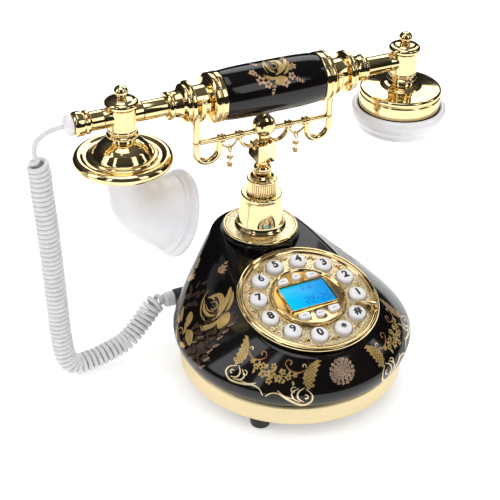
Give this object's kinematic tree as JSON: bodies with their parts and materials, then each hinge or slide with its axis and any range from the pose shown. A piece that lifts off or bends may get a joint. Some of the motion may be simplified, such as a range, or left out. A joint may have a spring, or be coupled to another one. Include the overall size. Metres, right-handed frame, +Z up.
{
  "type": "cradle telephone",
  "caption": "French-style cradle telephone: a lacquered pear-shaped base with a gilt push-button dial, a forked cradle on a neck, and a horn handset on a curly cord.",
  "frame": {"origin": "on the floor under the middle of the base", "axes": "+Z up, -Y towards the dial and the user, +X along the handset towards the earpiece"},
  "size_m": [0.3087, 0.1692, 0.2174],
  "materials": {
    "polished_gold": "polished",
    "satin_gold": "satin",
    "black_lacquer": "gloss",
    "white_plastic": "gloss",
    "cord_plastic": "satin",
    "black_rubber": "matte",
    "dark_plastic": "matte",
    "zinc_steel": "satin",
    "green_board": "matte",
    "lcd_glass": "gloss"
  },
  "bodies": {
    "base": {"ballast_weight": "zinc_steel", "base_plate": "dark_plastic", "base_ring": "satin_gold", "body_shell": "black_lacquer", "circuit_board": "green_board", "cord_lead": "cord_plastic", "cord_plug": "cord_plastic", "curly_cord": "cord_plastic", "dial_plate": "polished_gold", "fluted_collar": "polished_gold", "foot_front_left": "black_rubber", "foot_front_right": "black_rubber", "foot_rear_left": "black_rubber", "foot_rear_right": "black_rubber", "handset_socket": "dark_plastic", "hook_switch": "dark_plastic", "inner_bezel": "polished_gold", "lcd_window": "lcd_glass", "neck_flange": "polished_gold", "pedestal_bell": "polished_gold", "ringer_buzzer": "dark_plastic", "wall_socket": "dark_plastic"},
    "cradle": {"cradle_frame": "polished_gold", "star_knob": "polished_gold", "plunger_rod": "polished_gold"},
    "handset": {"handset_grip": "black_lacquer", "ferrule_left": "polished_gold", "ferrule_right": "polished_gold", "tube_left": "polished_gold", "tube_right": "polished_gold", "mouth_tee": "polished_gold", "ear_tee": "polished_gold", "end_ferrule": "polished_gold", "strain_relief": "white_plastic", "mouth_saucer": "polished_gold", "mouth_horn": "white_plastic", "mic_capsule": "dark_plastic", "ear_housing": "polished_gold", "ear_cap": "white_plastic", "speaker_capsule": "dark_plastic"},
    "left_pendant": {"pendant_left": "polished_gold"},
    "right_pendant": {"pendant_right": "polished_gold"},
    "digit_1": {"key_1": "white_plastic"},
    "digit_2": {"key_2": "white_plastic"},
    "digit_3": {"key_3": "white_plastic"},
    "digit_4": {"key_4": "white_plastic"},
    "digit_5": {"key_5": "white_plastic"},
    "digit_6": {"key_6": "white_plastic"},
    "digit_7": {"key_7": "white_plastic"},
    "digit_8": {"key_8": "white_plastic"},
    "digit_9": {"key_9": "white_plastic"},
    "digit_0": {"key_0": "white_plastic"},
    "digit_star": {"key_star": "white_plastic"},
    "digit_hash": {"key_hash": "white_plastic"},
    "function_flash": {"button_flash": "white_plastic"},
    "function_redial": {"button_redial": "white_plastic"},
    "function_mute": {"button_mute": "white_plastic"},
    "function_store": {"button_store": "white_plastic"},
    "function_volume": {"button_volume": "white_plastic"},
    "function_delete": {"button_delete": "white_plastic"}
  },
  "joints": [
    {"name": "hook_travel", "type": "slide", "parent": "base", "child": "cradle", "axis": [0, 0, 1], "range_m": [0, 0.0035], "stiffness_N_per_m": 400, "springref_m": 0.008},
    {"name": "handset_lift", "type": "slide", "parent": "cradle", "child": "handset", "axis": [0, 0, 1], "range_m": [0, 0.1]},
    {"name": "left_pendant_swing", "type": "hinge", "parent": "cradle", "child": "left_pendant", "pos_m": [-0.0252, 0.0524, 0.1566], "axis": [1, 0, 0], "range_deg": [-30, 30]},
    {"name": "right_pendant_swing", "type": "hinge", "parent": "cradle", "child": "right_pendant", "pos_m": [0.0252, 0.0524, 0.1566], "axis": [1, 0, 0], "range_deg": [-30, 30]},
    {"name": "press_1", "type": "slide", "parent": "base", "child": "digit_1", "axis": [0, 0.1942, -0.981], "range_m": [0, 0.0015], "stiffness_N_per_m": 300, "springref_m": -0.0015},
    {"name": "press_2", "type": "slide", "parent": "base", "child": "digit_2", "axis": [0, 0.1942, -0.981], "range_m": [0, 0.0015], "stiffness_N_per_m": 300, "springref_m": -0.0015},
    {"name": "press_3", "type": "slide", "parent": "base", "child": "digit_3", "axis": [0, 0.1942, -0.981], "range_m": [0, 0.0015], "stiffness_N_per_m": 300, "springref_m": -0.0015},
    {"name": "press_4", "type": "slide", "parent": "base", "child": "digit_4", "axis": [0, 0.1942, -0.981], "range_m": [0, 0.0015], "stiffness_N_per_m": 300, "springref_m": -0.0015},
    {"name": "press_5", "type": "slide", "parent": "base", "child": "digit_5", "axis": [0, 0.1942, -0.981], "range_m": [0, 0.0015], "stiffness_N_per_m": 300, "springref_m": -0.0015},
    {"name": "press_6", "type": "slide", "parent": "base", "child": "digit_6", "axis": [0, 0.1942, -0.981], "range_m": [0, 0.0015], "stiffness_N_per_m": 300, "springref_m": -0.0015},
    {"name": "press_7", "type": "slide", "parent": "base", "child": "digit_7", "axis": [0, 0.1942, -0.981], "range_m": [0, 0.0015], "stiffness_N_per_m": 300, "springref_m": -0.0015},
    {"name": "press_8", "type": "slide", "parent": "base", "child": "digit_8", "axis": [0, 0.1942, -0.981], "range_m": [0, 0.0015], "stiffness_N_per_m": 300, "springref_m": -0.0015},
    {"name": "press_9", "type": "slide", "parent": "base", "child": "digit_9", "axis": [0, 0.1942, -0.981], "range_m": [0, 0.0015], "stiffness_N_per_m": 300, "springref_m": -0.0015},
    {"name": "press_0", "type": "slide", "parent": "base", "child": "digit_0", "axis": [0, 0.1942, -0.981], "range_m": [0, 0.0015], "stiffness_N_per_m": 300, "springref_m": -0.0015},
    {"name": "press_star", "type": "slide", "parent": "base", "child": "digit_star", "axis": [0, 0.1942, -0.981], "range_m": [0, 0.0015], "stiffness_N_per_m": 300, "springref_m": -0.0015},
    {"name": "press_hash", "type": "slide", "parent": "base", "child": "digit_hash", "axis": [0, 0.1942, -0.981], "range_m": [0, 0.0015], "stiffness_N_per_m": 300, "springref_m": -0.0015},
    {"name": "press_flash", "type": "slide", "parent": "base", "child": "function_flash", "axis": [0, 0.1942, -0.981], "range_m": [0, 0.001], "stiffness_N_per_m": 300, "springref_m": -0.0015},
    {"name": "press_redial", "type": "slide", "parent": "base", "child": "function_redial", "axis": [0, 0.1942, -0.981], "range_m": [0, 0.001], "stiffness_N_per_m": 300, "springref_m": -0.0015},
    {"name": "press_mute", "type": "slide", "parent": "base", "child": "function_mute", "axis": [0, 0.1942, -0.981], "range_m": [0, 0.001], "stiffness_N_per_m": 300, "springref_m": -0.0015},
    {"name": "press_store", "type": "slide", "parent": "base", "child": "function_store", "axis": [0, 0.1942, -0.981], "range_m": [0, 0.001], "stiffness_N_per_m": 300, "springref_m": -0.0015},
    {"name": "press_volume", "type": "slide", "parent": "base", "child": "function_volume", "axis": [0, 0.1942, -0.981], "range_m": [0, 0.001], "stiffness_N_per_m": 300, "springref_m": -0.0015},
    {"name": "press_delete", "type": "slide", "parent": "base", "child": "function_delete", "axis": [0, 0.1942, -0.981], "range_m": [0, 0.001], "stiffness_N_per_m": 300, "springref_m": -0.0015}
  ]
}
